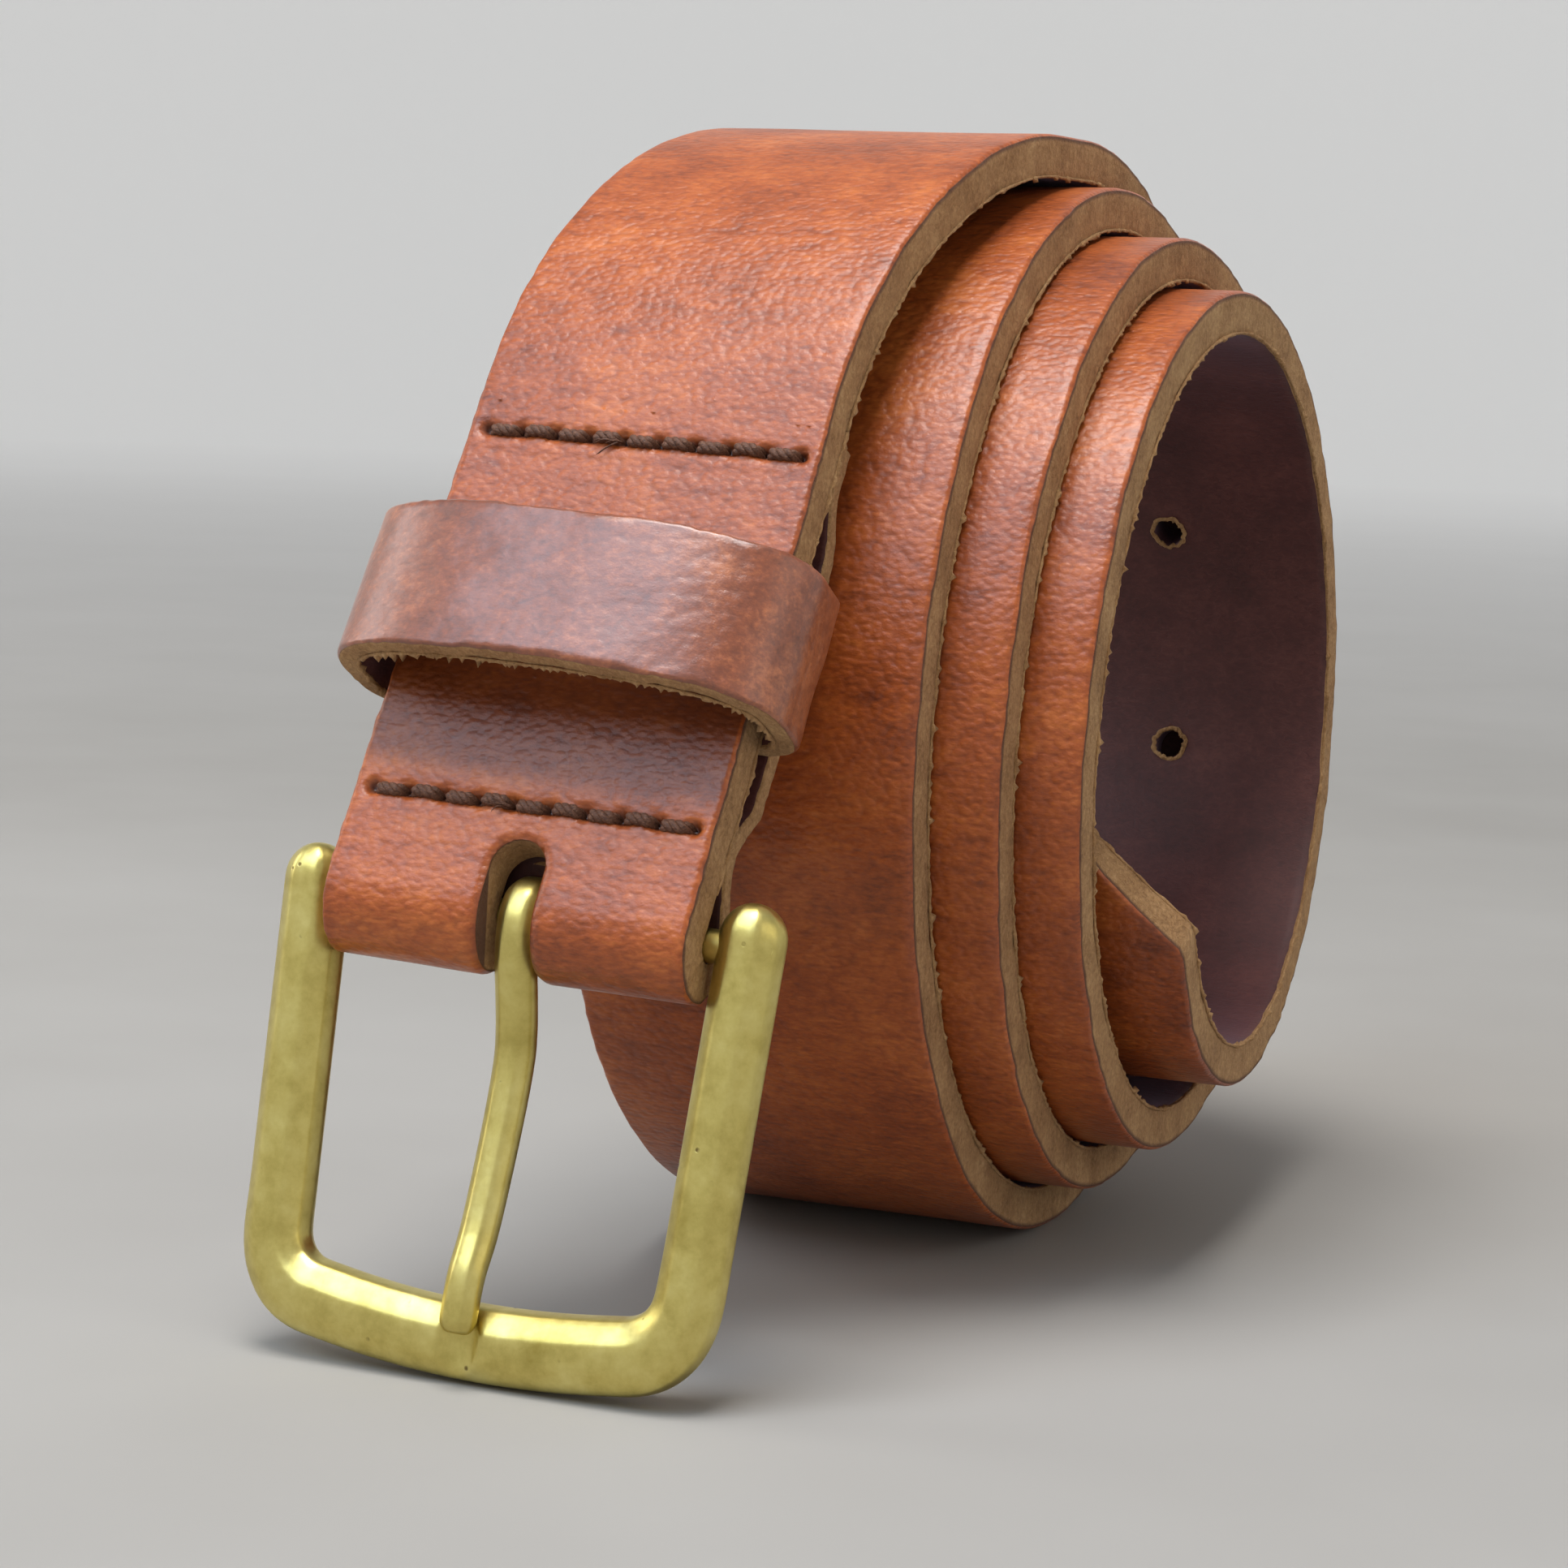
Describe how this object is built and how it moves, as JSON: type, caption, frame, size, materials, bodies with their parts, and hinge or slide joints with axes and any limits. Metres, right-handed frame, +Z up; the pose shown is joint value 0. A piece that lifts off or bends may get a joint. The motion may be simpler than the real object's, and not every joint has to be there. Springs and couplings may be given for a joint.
{
  "type": "leather dress belt",
  "caption": "Cognac leather belt stored as a loose roll on its edge, with a brass frame buckle, hinged prong, leather keeper loop and saddle-stitched fold.",
  "frame": {"origin": "middle of the base of the whole part, on the surface that the roll and the buckle stand on", "axes": "+Z up, the buckle faces -Y, the roll's axis lies along X with the inner turns pulled out towards +X"},
  "size_m": [0.0712, 0.141, 0.1116],
  "materials": {
    "strap_leather": "waxed full-grain, raw tan cut edges and dark flesh side",
    "keeper_leather": "waxed full-grain, raw tan cut edges",
    "thread": "waxed twisted thread",
    "brass": "satin, softly worn"
  },
  "bodies": {
    "belt": {"strap": "strap_leather", "strap_fold": "strap_leather", "upper_stitching": "thread", "lower_stitching": "thread"},
    "keeper": {"keeper_loop": "keeper_leather", "keeper_stitching": "thread"},
    "buckle": {"buckle_frame": "brass", "buckle_bar": "brass"},
    "prong": {"prong": "brass"}
  },
  "joints": [
    {"name": "keeper_slide", "type": "slide", "parent": "belt", "child": "keeper", "axis": [0.0384, 0.4996, 0.8654], "range_m": [-0.0025, 0.0025]},
    {"name": "buckle_swing", "type": "hinge", "parent": "belt", "child": "buckle", "pos_m": [-0.01124, -0.05948, 0.03981], "axis": [0.9993, -0.0192, -0.0332], "range_deg": [-45, 25]},
    {"name": "prong_swing", "type": "hinge", "parent": "buckle", "child": "prong", "pos_m": [-0.01124, -0.05948, 0.03981], "axis": [-0.9993, 0.0192, 0.0332], "range_deg": [0, 75]}
  ]
}
